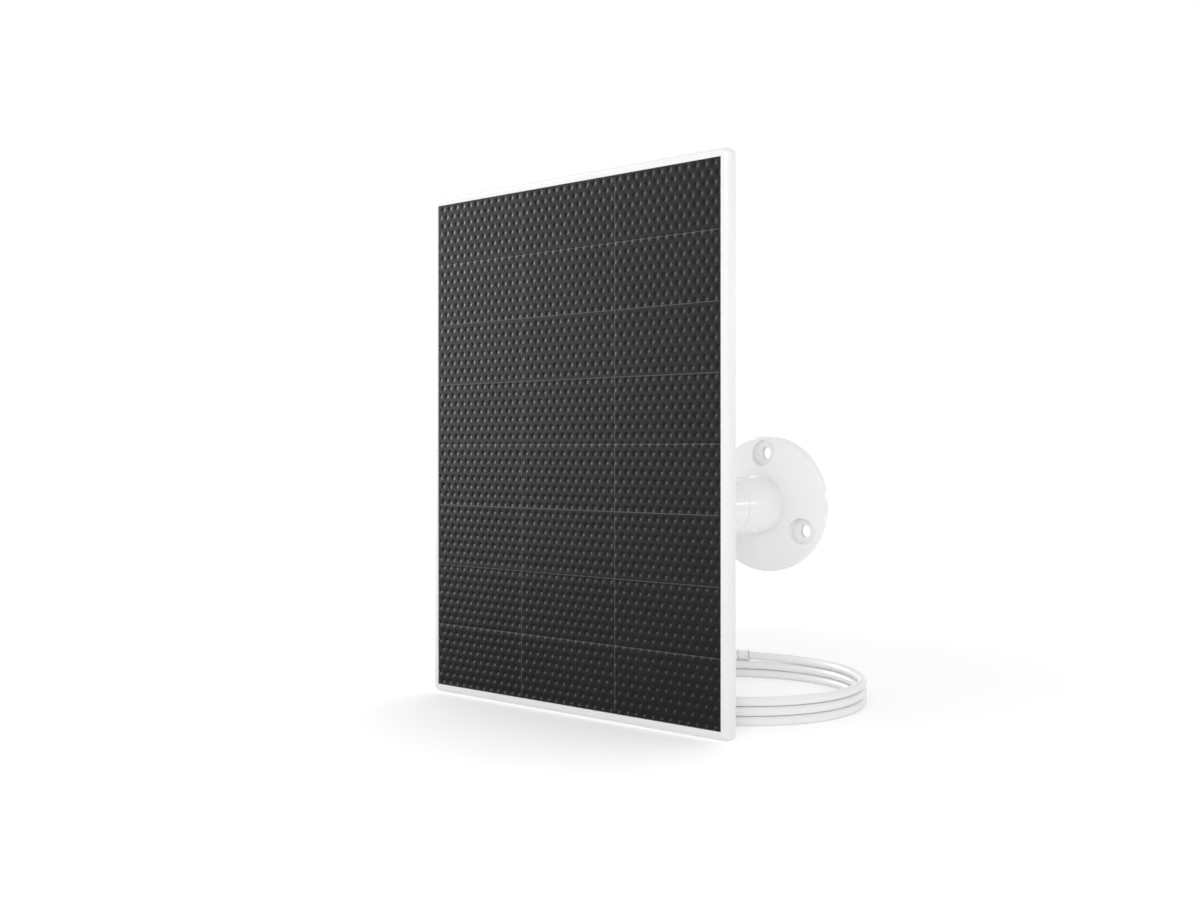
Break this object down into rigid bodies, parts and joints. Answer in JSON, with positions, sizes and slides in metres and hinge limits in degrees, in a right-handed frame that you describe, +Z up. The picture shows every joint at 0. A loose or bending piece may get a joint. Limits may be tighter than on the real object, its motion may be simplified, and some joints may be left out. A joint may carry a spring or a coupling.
{
  "type": "solar charging panel for a security camera",
  "caption": "Flat rectangular solar charging panel in a thin frame, with a ball-jointed wall mount and a coiled cable that ends in a plug.",
  "frame": {"origin": "on the surface that the panel stands on, below the middle of its width and halfway between the panel's face and the wall face, cable left out", "axes": "+Z up along the panel's height, +Y from the panel's face back to the wall, +X to the right seen from the front"},
  "size_m": [0.1371, 0.127, 0.175],
  "materials": {
    "white_frame": "moulded, satin",
    "black_film": "dimpled, semi-gloss",
    "cells": "dark silicon",
    "cell_board": "glass-fibre laminate",
    "copper_ribbon": "tinned copper",
    "grey_rubber": "matt",
    "white_cover": "fine texture",
    "steel": "zinc plated",
    "white_plug": "satin",
    "brass": "turned",
    "circuit_board": "solder mask",
    "black_chip": "moulded epoxy",
    "ferrite": "sintered",
    "aluminium_can": "satin",
    "wire_red": "pvc",
    "vent_grey": "matt",
    "polished_steel": "polished",
    "black_plastic": "fine texture",
    "white_mount": "glossy",
    "seat_plastic": "acetal",
    "foam": "closed-cell foam",
    "white_cord": "soft pvc",
    "white_tie": "woven",
    "shell_metal": "nickel plated"
  },
  "bodies": {
    "panel": {"front_frame": "white_frame", "front_film": "black_film", "solar_cells": "cells", "cell_board": "cell_board", "bus_ribbons": "copper_ribbon", "laminate_seal": "grey_rubber", "back_cover": "white_cover", "cover_gasket": "grey_rubber", "cover_screws": "steel", "screw_plugs": "white_plug", "vent_plug": "vent_grey", "threaded_insert": "brass", "charge_board": "circuit_board", "board_screws": "steel", "inductor": "ferrite", "regulator_chips": "black_chip", "capacitors": "aluminium_can", "output_wires": "wire_red", "cell_wires": "wire_red", "ball_stud": "polished_steel", "nut_washer": "grey_rubber", "cable_gland": "white_cord", "gland_nut": "white_plug", "cord_lead": "white_cord", "storage_coil": "white_cord", "coil_tie": "white_tie", "cord_link": "white_cord", "loop_coil": "white_cord", "cord_tail": "white_cord", "plug_collar": "white_plug", "plug_relief": "white_cord", "plug_body": "white_plug", "plug_seal": "grey_rubber", "plug_shell": "shell_metal", "plug_tongue": "black_plastic"},
    "nut": {"jam_nut": "black_plastic"},
    "seat": {"ball_seat": "seat_plastic"},
    "collar": {"lock_collar": "white_mount"},
    "arm": {"arm": "white_mount", "swivel_ring": "grey_rubber", "pivot_washer": "steel", "pivot_screw": "steel"},
    "base": {"wall_base": "white_mount", "wall_pad": "foam"}
  },
  "joints": [
    {"name": "jam_nut_turn", "type": "hinge", "parent": "panel", "child": "nut", "pos_m": [0, -0.0435, 0.064], "axis": [0, 1, 0], "range_deg": [0, 180]},
    {"name": "tilt", "type": "hinge", "parent": "panel", "child": "seat", "pos_m": [0, -0.0255, 0.064], "axis": [1, 0, 0], "range_deg": [-15, 30]},
    {"name": "pan", "type": "hinge", "parent": "seat", "child": "arm", "pos_m": [0, -0.0255, 0.064], "axis": [0, 0, 1], "range_deg": [-25, 25]},
    {"name": "collar_turn", "type": "hinge", "parent": "arm", "child": "collar", "pos_m": [0, -0.0255, 0.064], "axis": [0, 1, 0], "range_deg": [-120, 0]},
    {"name": "swivel", "type": "hinge", "parent": "arm", "child": "base", "pos_m": [0, 0.05, 0.064], "axis": [0, 1, 0], "continuous": true}
  ]
}
